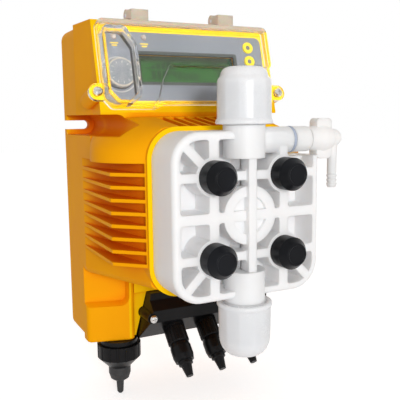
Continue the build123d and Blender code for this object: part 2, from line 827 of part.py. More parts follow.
washer_thick = 1.0
screw_head = 5.0
pole_front = -104.0
cap_skirt = 9.0
cap_height = 12.8
cap_radius = 8.9
cap_face = 5.8
head_screw = cap_screw(screw_radius, 4.25, screw_head, washer_thick + head_thick + 16, 2.3)
head_screw += Pos(0, 0, -washer_thick / 2) * Cylinder(5.0, washer_thick)
parts["head_screws"] = at_screws(head_screw, head_front - washer_thick)
parts["bolt_caps"] = at_screws(
    lathe(
        (5.3, 0), (cap_radius, 0), (cap_radius, cap_skirt - 0.5), (cap_radius - 0.4, cap_skirt),
        (cap_face + 0.4, cap_height - 0.3), (cap_face, cap_height), (cap_face - 0.6, cap_height),
        (cap_face - 1.0, cap_height - 0.4), (0, cap_height - 0.4), (0, cap_height - 2), (5.3, cap_height - 2),
    ),
    head_front,
)

# ---------------------------------------------------------------- valves
o_ring_section = 1.15
seat_height = 3.4
seat_hole = 2.8
ball_seat_rise = sqrt(ball_radius**2 - seat_hole**2)
chamber_bore = 5.4
stub_radius = 11.8
stub_length = 13.4
nut_bore = stub_radius + 0.35
nut_hole = hose_radius + 0.6


def stacked(shape, sign):
    """Place a shape built along +Z from the drum axis at the upper or lower valve."""
    if sign < 0:
        shape = shape.mirror(Plane.XY)
    return Pos(0, valve_y, axis_z) * shape


def ring(outer, inner, z0, z1):
    return Pos(0, 0, (z0 + z1) / 2) * (Cylinder(outer, z1 - z0) - Cylinder(inner, z1 - z0 + 1))


seal_start = valve_bore_depth
seat_start = seal_start + 2 * o_ring_section
body_start = seat_start + seat_height
stub_start = neck_end
stub_end = stub_start + stub_length
nipple_flange = 2.6


def valve_seal():
    torus = Torus(valve_bore - o_ring_section - 0.25, o_ring_section - 0.02)
    return Pos(0, 0, seal_start + o_ring_section) * torus


def discharge_seat():
    seat = ring(valve_bore - 0.1, seat_hole, seat_start, body_start)
    return seat


def valve_shell():
    """Cartridge in the head's bore with the threaded stub outside it."""
    shell = Pos(0, 0, (body_start + stub_start) / 2) * Cylinder(valve_bore - 0.1, stub_start - body_start)
    shell += lathe(
        (0, stub_start), (stub_radius, stub_start), (stub_radius, stub_start + 2.4),
        *[point for i in range(4) for point in (
            (stub_radius - 1.2, stub_start + 3.2 + 2.6 * i), (stub_radius, stub_start + 4.4 + 2.6 * i),
            (stub_radius, stub_start + 5.0 + 2.6 * i))],
        (0, stub_start + 5.0 + 2.6 * 3),
    )
    shell += Pos(0, 0, (stub_start + stub_end) / 2) * Cylinder(stub_radius - 1.2, stub_length)
    return shell


def flow_grooves(z0, z1, reach):
    """Four grooves round a lifted ball."""
    cuts = None
    for i in range(4):
        cut = Rot(Z=45 + 90 * i) * Pos(reach / 2, 0, (z0 + z1) / 2) * Box(reach, 2.2, z1 - z0)
        cuts = cut if cuts is None else cuts + cut
    return cuts


ball_room = ball_seat_rise + ball_radius + ball_lift + 0.1


def discharge_body():
    shell = valve_shell()
    top = body_start + ball_room
    shell -= Pos(0, 0, (body_start + top) / 2) * Cylinder(chamber_bore, top - body_start + 0.01)
    shell -= flow_grooves(top - 0.1, top + 1.6, 4.6)
    shell -= Pos(0, 0, (top + stub_end) / 2) * Cylinder(2.6, stub_end - top + 2)
    return shell


def suction_body():
    """Its chamber opens towards the head, and its ball rests on a seat at the outer end."""
    shell = valve_shell()
    floor = body_start + ball_room + seat_height
    shell -= Pos(0, 0, (body_start + floor) / 2) * Cylinder(chamber_bore, floor - body_start + 0.01)
    shell -= Pos(0, 0, (floor + stub_end) / 2) * Cylinder(2.6, stub_end - floor + 2)
    return shell


def suction_seat():
    floor = body_start + ball_room + seat_height
    return ring(chamber_bore - fit, seat_hole, floor - seat_height, floor)


def suction_cage():
    """Disc that keeps the suction ball in its chamber."""
    disc = Pos(0, 0, (seat_start + body_start) / 2) * Cylinder(valve_bore - 0.1, body_start - seat_start)
    disc -= Pos(0, 0, (seat_start + body_start) / 2) * Cylinder(2.4, body_start - seat_start + 1)
    disc -= flow_grooves(body_start - 1.4, body_start + 0.1, 4.8)
    return disc


def hose_nipple():
    outer = stub_radius - 0.4
    z = stub_end
    body = lathe(
        (2.6, z), (outer, z), (outer, z + nipple_flange), (4.4, z + nipple_flange), (4.4, z + 4.6),
        (3.9, z + 9.6), (2.6, z + 9.6),
    )
    return body


nut_end = stub_start + nut_length
nut_taper_start = nut_end - 9.5


def clamp_ring():
    """Cone that the nut squeezes onto the hose; it keeps a gap from the nut's own cone."""
    slope = (nut_bore - nut_hole) / (nut_end - 4 - nut_taper_start)
    outer = nut_bore - 0.4
    tip = nut_end - 5
    return lathe(
        (hose_radius + 0.1, nut_taper_start - 1.4), (outer, nut_taper_start - 1.4),
        (outer, nut_taper_start - 0.3),
        (outer - slope * (tip - nut_taper_start + 0.3), tip), (hose_radius + 0.1, tip),
    )


def union_nut():
    z = stub_start + gap
    outer = lathe(
        (0, z), (nut_radius + 0.6, z), (nut_radius + 0.6, z + 2.4), (nut_radius, z + 2.8),
        (nut_radius - 0.2, nut_end - 8.4), (nut_radius - 0.8, nut_end - 5.6),
        (nut_radius - 1.8, nut_end - 3.2),
        (nut_radius - 3.2, nut_end - 1.3), (nut_radius - 4.8, nut_end), (0, nut_end),
    )
    for i in range(12):
        flat = Rot(Z=30 * i) * Pos(nut_radius + 0.65, 0, (z + 2.8 + nut_end) / 2 - 2) * Box(1.9, 3.6,
            nut_end - z - 10)
        outer -= flat
    inner = lathe(
        (0, z - 1), (nut_bore, z - 1), (nut_bore, nut_taper_start), (nut_hole, nut_end - 4),
        (nut_hole, nut_end + 1),
        (0, nut_end + 1),
    )
    return outer - inner


def ball(centre):
    return Pos(0, 0, centre) * Sphere(ball_radius)


discharge_ball_z = body_start + ball_seat_rise
suction_ball_z = body_start + ball_room - ball_seat_rise
valve_pieces = {
    "valve_seat": (discharge_seat, suction_seat),
    "valve_ball": (lambda: ball(discharge_ball_z + 0.02), lambda: ball(suction_ball_z - 0.02)),
    "valve_body": (discharge_body, suction_body),
    "union_nut": (union_nut, union_nut),
}
for name, (upper, lower) in valve_pieces.items():
    parts[f"discharge_{name}"] = stacked(upper(), 1)
    parts[f"suction_{name}"] = stacked(lower(), -1)
parts["suction_ball_cage"] = stacked(suction_cage(), -1)
for name, shape in (("valve_seals", valve_seal()), ("hose_nipples", hose_nipple()),
    ("clamp_rings", clamp_ring())):
    parts[name] = Compound([stacked(shape, sign).solids()[0] for sign in (1, -1)])

# ---------------------------------------------------------------- bleed valve
collar_start = notch_x + 4.2 + 2.0
collar_end = 40.6
needle_radius = 3.0
wing_x0 = head_side / 2 + 0.4
wing_x1 = 55.6
wing_half = 11.4


def along_x(shape):
    """Shape built along +Z from the middle plane, laid along +X on the bleed axis."""
    return Pos(0, valve_y, up(bleed_height)) * Rot(Y=90) * shape


def bleed_body():
    body = lathe(
        (needle_radius + fit, bleed_bore_start + 0.3), (bleed_shank, bleed_bore_start + 0.3),
        (bleed_shank, collar_start), (bleed_radius, collar_start), (bleed_radius, collar_end - 0.8),
        (bleed_radius - 0.8, collar_end), (needle_radius + fit, collar_end),
    )
    return along_x(body)


def bleed_seal():
    torus = Pos(0, 0, collar_start - 1.0) * Torus(bleed_shank + 1.0 + 0.02, 0.97)
    return along_x(torus)


def bleed_knob():
    """Knob with two wings and an elbow that turns down into the hose tail."""
    z0 = collar_end + gap
    hub = lathe(
        (0, z0), (6.4, z0), (7.4, wing_x0 + 1), (7.8, (wing_x0 + wing_x1) / 2), (6.6, wing_x1),
        (5.4, wing_x1 + 2),
        (5.2, bleed_tail_x), (0, bleed_tail_x),
    )
    wings = Pos(0, 0, (wing_x0 + wing_x1) / 2) * Box(2 * wing_half, 7.0, wing_x1 - wing_x0)
    wings = fillet(wings.edges().filter_by(Axis.Y), 2.6)
    knob = hub + wings
    knob += Pos(0, 0, bleed_tail_x) * Sphere(5.2)
    knob += Pos(0, 0, (bleed_bore_start + 6 + z0) / 2) * Cylinder(needle_radius, z0 - bleed_bore_start - 6)
    tail = lathe(
        (0, 0), (tail_radius + 0.35, 0), (tail_radius, 12), (tail_radius, 20.4), (tail_radius - 0.3, 21),
        *[point for i in range(3) for point in (
            (tail_radius + 0.35, 21.6 + 2.4 * i), (tail_radius - 0.35, 23.6 + 2.4 * i))],
        (tail_radius - 0.5, 28.6), (0, 28.6),
    )
    tail = tail - Pos(0, 0, 20) * Cylinder(1.3, 18)
    return along_x(knob) + Pos(bleed_tail_x, valve_y, up(bleed_height)) * Rot(X=180) * tail


parts["bleed_seal"] = bleed_seal()
parts["bleed_valve_body"] = bleed_body()
parts["bleed_knob"] = bleed_knob()

# ---------------------------------------------------------------- drive
pole_plate = 8.0
stub_face = -80.0
coil_front = pole_front + pole_plate
can_back = bore_back
coil_back = can_back - 4.0
bush_radius = 6.4
armature_front = stub_face + stroke + 0.5
armature_back = -35.0


def along_y(shape, y=0.0):
    """Shape built along +Z, laid along -Y on the drum axis."""
    return Pos(0, y, axis_z) * Rot(X=90) * shape


def turned_y(*points):
    """Solid turned about the drum axis from (radius, y) points."""
    return along_y(lathe(*[(r, -y) for r, y in points]))


def pole_piece():
    piece = turned_y(
        (bush_radius + fit, pole_front), (solenoid_radius, pole_front), (solenoid_radius, coil_front),
        (armature_radius, coil_front), (armature_radius, stub_face), (9.4, stub_face), (9.4, stub_face - 7.5),
        (bush_radius + fit, stub_face - 7.5),
    )
    screw = screw_spacing / 2
    for x in (-screw, screw):
        for z in (-screw, screw):
            piece -= rod_y(x, axis_z + z, pole_front - 1, coil_front + 1, screw_radius + fit)
    return piece


def solenoid_can():
    return turned_y(
        (solenoid_radius, coil_front), (solenoid_radius, can_back), (armature_radius + 0.4, can_back),
        (armature_radius + 0.4, coil_back), (solenoid_radius - 4, coil_back),
        (solenoid_radius - 4, coil_front),
    )


def coil_bobbin():
    inner = armature_radius + 0.35
    rim = solenoid_radius - 4.4
    return turned_y(
        (inner, coil_front + gap), (rim, coil_front + gap), (rim, coil_front + 2.2),
        (inner + 1.5, coil_front + 2.2),
        (inner + 1.5, coil_back - 2.2), (rim, coil_back - 2.2), (rim, coil_back - gap),
        (inner, coil_back - gap),
    )


def coil_winding():
    inner = armature_radius + 0.35 + 1.5 + 0.05
    winding = turned_y(
        (inner, coil_front + 2.4), (solenoid_radius - 6, coil_front + 2.4),
        (solenoid_radius - 6, coil_back - 2.4),
        (inner, coil_back - 2.4),
    )
    return winding


def armature():
    return turned_y(
        (rod_radius + fit, armature_front), (armature_radius, armature_front),
        (armature_radius, armature_back),
        (0, armature_back), (0, armature_front + 16), (rod_radius + fit, armature_front + 16),
    )


def rod_bush():
    return turned_y(
        (rod_radius + fit, pole_front), (bush_radius, pole_front), (bush_radius, stub_face - 7.6),
        (rod_radius + fit, stub_face - 7.6),
    )


diaphragm_rim = 26.0
web_inner = 12.1
core_front = head_back + 0.5
core_back = head_back + 5.0


def thrust_rod():
    return turned_y(
        (0, core_back - 1.0), (2.9, core_back - 1.0), (2.9, core_back + 0.05), (rod_radius, core_back + 0.05),
        (rod_radius, armature_front + 15.8), (0, armature_front + 15.8),
    )


def diaphragm_core():
    return turned_y(
        (0, core_front), (web_inner - 0.1, core_front), (web_inner - 0.1, core_front + 2.4), (8.0, core_back),
        (2.95, core_back), (2.95, core_back - 1.1), (0, core_back - 1.1),
    )


def diaphragm_membrane():
    """Ring with a thick clamped rim and a thin rolled web."""
    return turned_y(
        (web_inner, core_front + 0.3), (15.0, core_front + 0.5), (17.5, core_front + 1.6),
        (20.0, core_front + 0.5),
        (22.0, head_back), (diaphragm_rim, head_back), (diaphragm_rim, head_back + 2.0),
        (22.0, head_back + 2.0), (20.0, core_front + 1.5), (17.5, core_front + 2.6), (15.0, core_front + 1.5),
        (web_inner, core_front + 1.3),
    )


def back_disc():
    """Disc between liquid end and solenoid, with the membrane's seat and a leak drain."""
    disc = turned_y(
        (rod_radius + 2.0, pole_front), (solenoid_radius, pole_front), (solenoid_radius, head_back),
        (diaphragm_rim + 0.05, head_back), (diaphragm_rim + 0.05, head_back + 2.0), (22.0, head_back + 2.0),
        (18.0, head_back + 6.8), (rod_radius + 2.0, head_back + 6.8),
    )
    screw = screw_spacing / 2
    for x in (-screw, screw):
        for z in (-screw, screw):
            disc -= rod_y(x, axis_z + z, pole_front + 1, head_back - 1, screw_radius + gap)
    disc -= rod_z(0, head_back + 3.5, axis_z - solenoid_radius - 1, axis_z - 16, 1.2)
    return disc


def return_spring():
    """Coil spring round the rod, between the pole piece and the armature."""
    wire = 0.7
    start = stub_face - 7.4 + wire
    length = armature_front - gap - 0.1 - wire - start
    turns = 3
    path = Helix(pitch=length / turns, height=length, radius=7.6)
    section = Plane(origin=path @ 0, z_dir=path % 0) * Circle(wire)
    coil = sweep(section, path=path)
    return Pos(0, start + length, axis_z) * Rot(X=90) * coil


stop_radius = 22.0
stop_end = -31.0


def end_stop():
    """Cap on the solenoid's back, with the face that the armature returns against."""
    return turned_y(
        (armature_radius + 1.0, can_back), (stop_radius, can_back), (stop_radius, can_back + 1.8),
        (armature_radius + 3.0, can_back + 1.8), (armature_radius + 1.4, stop_end), (0, stop_end),
        (0, armature_back + fit), (6.0, armature_back + fit), (6.0, armature_back + 1.5),
        (armature_radius + 1.0, armature_back + 1.5),
    )


parts["pole_piece"] = pole_piece()
parts["solenoid_can"] = solenoid_can()
parts["coil_bobbin"] = coil_bobbin()
parts["coil_winding"] = coil_winding()
parts["armature"] = armature()
parts["thrust_rod"] = thrust_rod()
parts["rod_bush"] = rod_bush()
parts["return_spring"] = return_spring()
parts["diaphragm_core"] = diaphragm_core()
parts["diaphragm_membrane"] = diaphragm_membrane()
parts["back_disc"] = back_disc()
parts["end_stop"] = end_stop()

# ---------------------------------------------------------------- control board in the rear case
def control_board():
    board = span(-50, 50, board_y - board_thick, board_y, up(board_low), up(board_high - 8))
    for x, z in board_holes:
        board -= rod_y(x, z, board_y - 3, board_y + 1, board_screw_hole)
    return board


def board_screws():
    """Screws of the control board and of the display board."""
    screw = cap_screw(board_screw_radius, 2.4, 2.0, board_screw_length, 1.2)
    screws = []
    for x, z in board_holes:
        screws.append(Pos(x, board_y - board_thick, z) * Rot(X=90) * screw)
    for x, down in display_screws:
        screws.append(on_panel(x, down, display_back - board_thick) * Rot(X=180) * screw)
    return Compound([shape.solids()[0] for shape in screws])


def board_parts():
    """Transformer, two capacitors, relay and terminal block on the board."""
    face = board_y - board_thick
    transformer = span(6, 40, face - 13, face, up(14), up(40))
    relay = span(-38, -18, face - 12, face, up(106), up(120))
    terminals = span(-42, -14, face - 9, face, up(28), up(38))
    for i in range(4):
        x = -38.5 + 7 * i
        terminals -= rod_y(x, up(33), face - 10, face - 6, 2.2)
    caps = [rod_y(x, up(113), face - 13, face, 6.0) for x in (14, 30)]
    return Compound([s.solids()[0] for s in (transformer, relay, terminals, *caps)])


parts["control_board"] = control_board()
parts["board_screws"] = board_screws()
parts["board_parts"] = board_parts()

# ---------------------------------------------------------------- connector box
slope_back = 45.0  # the slanted face of the plugs starts here, measured from the wall face
slope_front = box_front - 1.5
slope_top = 13.5
box_profile = [
    (-rear_depth, 0.0), (-slope_back, 0.0), (-slope_front, slope_top), (-box_front, 22.0), (-51.0, 26.5),
    (-50.0, box_height), (-rear_depth, box_height),
]
plug_face_y = -(slope_back + slope_front) / 2
plug_face_z = slope_top / 2
plug_xs = [plug_first_x + i * plug_pitch for i in range(3)]


def on_plug(x, shape):
    """Shape built along +Z, set outwards on the box's slanted face."""
    slope = degrees(atan(slope_top / (slope_front - slope_back)))
    return Pos(x, plug_face_y, up(plug_face_z)) * Rot(X=180 - slope) * shape


def left_of_slant(shift):
    """Everything left of the slanted plane at the box's left end, moved right by the shift."""
    low, high = foot_z - 1, up(box_height + 1)
    return outline_y(
        [(box_left - 9, low), (box_left + shift, low), (slant_top + shift, high), (box_left - 9, high)],
        -box_front - 1, -rear_depth + 2,
    )


def connector_box():
    points = [(y, up(z)) for y, z in box_profile]
    box = outline_x(points, box_left, box_right) - left_of_slant(0)
    inner = [
        (-rear_depth + 1, up(box_wall)), (-44.0, up(box_wall)), (-box_front + 4.1, up(14.6)),
        (-box_front + 2.6, up(20.6)), (-48.6, up(24.9)), (-47.6, up(box_height - box_wall)),
        (-rear_depth + 1, up(box_height - box_wall)),
    ]
    box -= outline_x(inner, box_left + box_wall, box_right - box_wall) - left_of_slant(box_wall)
    for x in box_screw_xs:
        box += rod_y(x, up(box_screw_z), -box_front + 1, -rear_depth, box_boss)
        box -= rod_y(x, up(box_screw_z), -box_front - 1, -rear_depth + 1, 1.7)
    for x in plug_xs:
        box -= on_plug(x, Cylinder(5.9, 12))
    box += rod_y(case_screw_x, up(screw_low), -42, -rear_depth, 4.5)
    box += span(case_screw_x - 4.5, box_right - 1, -42, -rear_depth, up(1), up(screw_low))
    box -= rod_y(case_screw_x, up(screw_low), case_screw_tip - 1, -rear_depth + 1, case_screw_radius + fit)
    return box


def box_screws():
    screws = []
    for x in box_screw_xs:
        screw = lathe((0, 0), (2.6, 0), (2.6, 0.8), (1.8, 1.8), (0, 2.0))
        screw -= Pos(0, 0, 1.8) * Box(3.0, 0.7, 1.4)
        screw -= Pos(0, 0, 1.8) * Box(0.7, 3.0, 1.4)
        screw += Pos(0, 0, -17) * Cylinder(1.5, 34)
        screws.append((Pos(x, -box_front - 0.05, up(box_screw_z)) * Rot(X=90) * screw).solids()[0])
    return Compound(screws)


def signal_sockets():
    sockets = []
    for x in plug_xs:
        socket = lathe(
            (0, -6), (5.85, -6), (5.85, 0), (7.4, 0), (7.4, 1.8), (5.6, 1.8), (5.6, 7.0), (4.4, 7.0),
            (4.4, 1.0),
            (0, 1.0),
        )
        sockets.append(on_plug(x, socket).solids()[0])
    return Compound(sockets)


ring_start = 2.0
ring_end = 13.0
ring_radius = 7.2


def plug_ring():
    """Knurled coupling ring."""
    body = lathe(
        (5.65, ring_start), (ring_radius, ring_start), (ring_radius, ring_end - 0.6),
        (ring_radius - 0.6, ring_end),
        (4.65, ring_end), (4.65, 7.6), (5.65, 7.4),
    )
    for i in range(18):
        body -= Rot(Z=20 * i) * Pos(ring_radius + 0.2, 0, (ring_start + ring_end) / 2) * Cylinder(0.6,
            ring_end)
    return body


def plug_body():
    return lathe(
        (0, 2.0), (4.2, 2.0), (4.2, 7.6), (4.6, 7.6), (4.6, ring_end + gap), (6.4, ring_end + gap),
        (7.0, 16.0),
        (7.0, 22.0), (6.2, 25.5), (4.8, 25.5), (4.8, 28.0), (3.6, 28.6), (2.3, 36.0), (0, 36.0),
    )


parts["connector_box"] = connector_box()
parts["box_screws"] = box_screws()
parts["signal_sockets"] = signal_sockets()
parts["plug_bodies"] = Compound([on_plug(x, plug_body()).solids()[0] for x in plug_xs])
for number, x in enumerate(plug_xs, 1):
    parts[f"plug_ring_{number}"] = on_plug(x, plug_ring())


# ---------------------------------------------------------------- cable gland
def hung(shape):
    """Shape built along +Z, hung down from the gland's place under the foot."""
    return Pos(gland_x, gland_y, foot_z) * Rot(X=180) * shape


nut_drop = 3.0
locknut_radius = 6.6


def gland_body():
    body = lathe(
        (0, -9), (gland_thread, -9), (gland_thread, 0), (12.6, 0), (12.6, nut_drop), (9.0, nut_drop),
        (9.0, 9.5),
        (0, 9.5),
    )
    return body


def gland_nut():
    body = lathe(
        (9.05, nut_drop + gap), (gland_radius, nut_drop + gap), (gland_radius, 12.5), (7.7, 19.5),
        (5.0, 19.5),
        (5.0, 17.0), (9.05, 11.5),
    )
    for i in range(16):
        body -= Rot(Z=22.5 * i) * Pos(gland_radius + 0.5, 0, 7.5) * Cylinder(1.1, 11)
    return body


parts["gland_body"] = hung(gland_body())
parts["gland_locknut"] = hung(ring(locknut_radius, gland_thread + fit, -case_wall - 3.5, -case_wall))
parts["gland_nut"] = hung(gland_nut())
parts["gland_tail"] = hung(
    lathe((0, 19.7), (7.4, 19.7), (7.4, 24.6), (6.2, 28.4), (2.6, 31.0), (2.1, 38.6), (1.2, 39.7), (0, 39.7))
)

if __name__ == "__main__":
    os.makedirs("parts", exist_ok=True)
    for name, shape in parts.items():
        export_step(shape, f"parts/{name}.step")
        print(name, len(shape.solids()), round(shape.volume))
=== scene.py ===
import math

import bmesh
import bpy
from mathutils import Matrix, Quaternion, Vector


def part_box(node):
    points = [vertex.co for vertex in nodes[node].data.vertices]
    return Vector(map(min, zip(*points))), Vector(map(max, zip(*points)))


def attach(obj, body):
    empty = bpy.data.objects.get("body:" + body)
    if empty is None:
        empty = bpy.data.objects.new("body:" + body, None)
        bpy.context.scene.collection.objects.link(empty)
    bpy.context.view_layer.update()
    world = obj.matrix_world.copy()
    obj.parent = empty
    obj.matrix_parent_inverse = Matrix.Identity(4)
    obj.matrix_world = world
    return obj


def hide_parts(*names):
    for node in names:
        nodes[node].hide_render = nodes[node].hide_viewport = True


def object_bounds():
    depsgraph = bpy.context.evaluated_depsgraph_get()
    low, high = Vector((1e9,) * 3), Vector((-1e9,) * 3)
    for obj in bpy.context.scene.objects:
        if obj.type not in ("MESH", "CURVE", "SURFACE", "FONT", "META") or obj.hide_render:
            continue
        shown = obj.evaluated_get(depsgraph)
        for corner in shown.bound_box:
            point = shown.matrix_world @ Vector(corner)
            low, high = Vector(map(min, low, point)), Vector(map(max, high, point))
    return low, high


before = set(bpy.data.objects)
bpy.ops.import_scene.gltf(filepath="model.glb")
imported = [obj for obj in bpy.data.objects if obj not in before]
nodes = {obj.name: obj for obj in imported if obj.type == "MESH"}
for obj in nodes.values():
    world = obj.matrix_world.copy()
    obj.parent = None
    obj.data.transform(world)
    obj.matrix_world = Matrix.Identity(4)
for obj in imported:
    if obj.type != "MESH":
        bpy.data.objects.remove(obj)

bpy.context.view_layer.update()
cad_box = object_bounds()
MM = 0.001

# ---------------------------------------------------------------- camera
# The pump hangs on its wall and is seen from the left, a little from above.
scene = bpy.context.scene
scene.view_settings.view_transform = "Standard"
camera = bpy.data.objects.new("camera", bpy.data.cameras.new("camera"))
scene.collection.objects.link(camera)
scene.camera = camera
camera.data.lens = 54.8
camera.data.sensor_width = 36.0
camera.data.clip_start = 0.01
camera.location = (-0.1668, -0.4154, 0.0050)
view_direction = Vector((0.4405, 0.8873, -0.1369))
camera_roll = Quaternion((0, 0, 1), math.radians(-0.67))
camera.rotation_mode = "QUATERNION"
camera.rotation_quaternion = view_direction.to_track_quat("-Z", "Y") @ camera_roll


# ---------------------------------------------------------------- case
# Two halves moulded in glass-filled plastic, coloured right through in a warm yellow.
# The mould was spark-eroded, which leaves a fine even grain; corners are rubbed a little smoother.
class Wire:
    """One output of a node. Its operators add Math nodes."""

    def __init__(self, wiring, socket):
        self.wiring, self.socket = wiring, socket

    def maths(self, operation, first, second=0.0):
        return self.wiring.node("ShaderNodeMath", {"operation": operation}, {0: first, 1: second})

    def __add__(self, other): return self.maths("ADD", self, other)
    def __radd__(self, other): return self.maths("ADD", other, self)
    def __sub__(self, other): return self.maths("SUBTRACT", self, other)
    def __rsub__(self, other): return self.maths("SUBTRACT", other, self)
    def __mul__(self, other): return self.maths("MULTIPLY", self, other)
    def __rmul__(self, other): return self.maths("MULTIPLY", other, self)
    def __truediv__(self, other): return self.maths("DIVIDE", self, other)
    def __rtruediv__(self, other): return self.maths("DIVIDE", other, self)
    def __pow__(self, other): return self.maths("POWER", self, other)
    def __abs__(self): return self.maths("ABSOLUTE", self)

    def fract(self): return self.maths("FRACT", self)
    def sine(self): return self.maths("SINE", self)
    def most(self, other): return self.maths("MAXIMUM", self, other)
    def least(self, other): return self.maths("MINIMUM", self, other)

    def between(self, low, high):
        """0 below low, 1 above high, smooth between them."""
        settings = {"interpolation_type": "SMOOTHSTEP"}
        return self.wiring.node("ShaderNodeMapRange", settings, {0: self, 1: low, 2: high})


class Wiring:
    """The nodes of one material or of the room's light."""

    def __init__(self, tree):
        self.tree = tree

    def feed(self, socket, value):
        if isinstance(value, Wire):
            self.tree.links.new(value.socket, socket)
        elif hasattr(value, "__len__") and socket.type == "RGBA" and len(value) == 3:
            socket.default_value = (*value, 1.0)
        else:
            socket.default_value = value

    def node(self, kind, settings=None, sockets=None, output=0):
        """Makes a node, sets it up, then gives its sockets their values or links."""
        made = self.tree.nodes.new(kind)
        for key, value in (settings or {}).items():
            setattr(made, key, value)
        for key, value in (sockets or {}).items():
            self.feed(made.inputs[key], value)
        return Wire(self, made.outputs[output])


class Finish(Wiring):
    """A procedural material with one main shader."""

    def __init__(self, name):
        self.material = bpy.data.materials.new(name)
        self.material.use_nodes = True
        super().__init__(self.material.node_tree)
        self.shader = self.tree.nodes["Principled BSDF"]
        self.shaded = Wire(self, self.shader.outputs["BSDF"])
        self.end = self.tree.nodes["Material Output"].inputs["Surface"]
        self.place = self.node("ShaderNodeTexCoord", output="Object")

    def noise(self, size, detail=2.0, rough=0.5):
        """Noise whose features are about size metres across."""
        return self.node("ShaderNodeTexNoise", None, {
            "Vector": self.place, "Scale": 1 / size, "Detail": detail, "Roughness": rough})

    def mix(self, mask, first, second):
        """Colour that goes from first to second as the mask goes from 0 to 1."""
        settings = {"data_type": "RGBA"}
        return self.node("ShaderNodeMix", settings, {0: mask, 6: first, 7: second}, output=2)

    def dot(self, vector, direction):
        settings = {"operation": "DOT_PRODUCT"}
        return self.node("ShaderNodeVectorMath", settings, {0: vector, 1: direction}, output="Value")

    def along(self, x, y, z, shift=0.0):
        """Distance in mm along a direction, from a point that is shift mm from the origin."""
        return self.dot(self.place, (x, y, z)) * 1000.0 - shift

    def relief(self, height, depth, under=None):
        """Bump whose height of 1 stands depth metres proud."""
        sockets = {"Distance": depth, "Height": height}
        if under is not None:
            sockets["Normal"] = under
        return self.node("ShaderNodeBump", None, sockets)

    def soft_edges(self, radius):
        return self.node("ShaderNodeBevel", {"samples": 4}, {"Radius": radius})

    def mix_shaders(self, factor, first, second):
        return self.node("ShaderNodeMixShader", None, {0: factor, 1: first, 2: second})

    def shade(self, **sockets):
        for key, value in sockets.items():
            self.feed(self.shader.inputs[key.replace("_", " ")], value)
        return self

    def on(self, *names):
        """Gives the finish to CAD nodes or to new pieces."""
        for name in names:
            piece = nodes[name] if isinstance(name, str) else name
            if not piece.data.materials:
                piece.data.materials.append(self.material)
            for i in range(len(piece.data.materials)):
                piece.data.materials[i] = self.material
        return self


def moulded(name, colour, pale, gloss, grain=0.00035, depth=0.000012, edge=0.0005, sheen=0.22):
    """Plain moulded plastic: clouded pigment, moulding grain, softened edges and a few scuffs."""
    made = Finish(name)
    cloud = made.noise(0.035, 3.0)
    speck = made.noise(grain, 2.0)
    scuff = made.noise(0.006, 6.0, 0.75).between(0.66, 0.74)
    scuffed = tuple(0.8 * c + 0.1 for c in pale)
    made.pigment = made.mix(cloud.between(0.3, 0.7), colour, pale)
    made.pigment = made.mix(scuff * 0.15, made.pigment, scuffed)
    made.shade(
        Base_Color=made.pigment, Specular_IOR_Level=sheen,
        Roughness=cloud * 0.10 + speck * 0.08 + scuff * 0.15 + (gloss - 0.09),
        Normal=made.relief(speck, depth, made.soft_edges(edge)))
    return made


case_finish = moulded(
    "case_yellow", (0.96, 0.385, 0.001), (0.99, 0.42, 0.0015), 0.54, depth=0.000016, sheen=0.05)
# Painted light and shade in the case's colour: front faces are painted a paler yellow as painted light,
# and hollows a redder orange as painted shade.
painted_light_yellow, painted_shade_red = (1.0, 0.60, 0.002), (0.82, 0.20, 0.0008)
front_way = (0, -0.991, 0.131)  # half-way between the drum's front and the sloped panel
facing = case_finish.dot(case_finish.node("ShaderNodeNewGeometry", output="Normal"), front_way)
hollow = case_finish.node(
    "ShaderNodeAmbientOcclusion", {"samples": 8, "only_local": True}, {"Distance": 14 * MM},
    output="AO")
# Painted light: faces turned to the front are painted a paler yellow.
pigment = case_finish.mix(facing.between(0.957, 0.985), case_finish.pigment, painted_light_yellow)
# Painted shade: hollows that ambient occlusion finds are painted a redder orange.
pigment = case_finish.mix(hollow.between(0.90, 0.35), pigment, painted_shade_red)
case_finish.shade(Base_Color=pigment).on("rear_case", "front_case")

# ---------------------------------------------------------------- screws
# Zinc-plated steel screws: cross-head at the cover and the connector box, socket head elsewhere.
# Turned marks run round them, and the plating is a little cloudy.


def turned_metal(name, colour, dark, gloss, mark=0.00025):
    made = Finish(name)
    cloud = made.noise(0.0016, 4.0)
    fine = made.noise(mark, 2.0)
    return made.shade(
        Base_Color=made.mix(cloud.between(0.35, 0.75), colour, dark), Metallic=1.0,
        Roughness=cloud * 0.18 + fine * 0.1 + (gloss - 0.14),
        Normal=made.relief(fine, 0.000006, made.soft_edges(0.0002)))


turned_metal("screw_steel", (0.70, 0.70, 0.69), (0.50, 0.49, 0.47), 0.28).on(
    "case_screws", "hinge_pins", "cover_screws", "head_screws", "board_screws", "box_screws")

# ---------------------------------------------------------------- panel label
# Printed polyester film, blue-grey, set in a shallow pocket so that the case frames it in yellow.
# Its corners are cut round. A few plain marks are printed under the lamps and round the dial.
tilt = math.radians(15)
panel_down = (0.0, -math.sin(tilt), -math.cos(tilt))
panel_out = (0.0, -math.cos(tilt), math.sin(tilt))
panel_edge = (-58.0, 62.0)  # y and z of the panel's top edge, mm
# Places on the panel, in mm: across from the middle, and down from the top edge.
lamps_across = (-47.0, -28.0)
dial_across, dial_down = -46.0, 33.5
display_middle = (0, 29.15)


def panel_axes(made):
    """Position on the panel in mm: across from the middle, and down from its top edge."""
    shift = panel_edge[0] * panel_down[1] + panel_edge[1] * panel_down[2]
    return made.along(1, 0, 0), made.along(*panel_down, shift=shift)


def rounded_box(across, down, centre, half, corner):
    """Distance in mm outside a rounded rectangle, negative inside it."""
    x = (abs(across - centre[0]) - (half[0] - corner)).most(0.0)
    y = (abs(down - centre[1]) - (half[1] - corner)).most(0.0)
    return (x * x + y * y) ** 0.5 - corner


def distance(across, down, centre):
    """Distance in mm from a point on the panel."""
    return ((across - centre[0]) ** 2.0 + (down - centre[1]) ** 2.0) ** 0.5


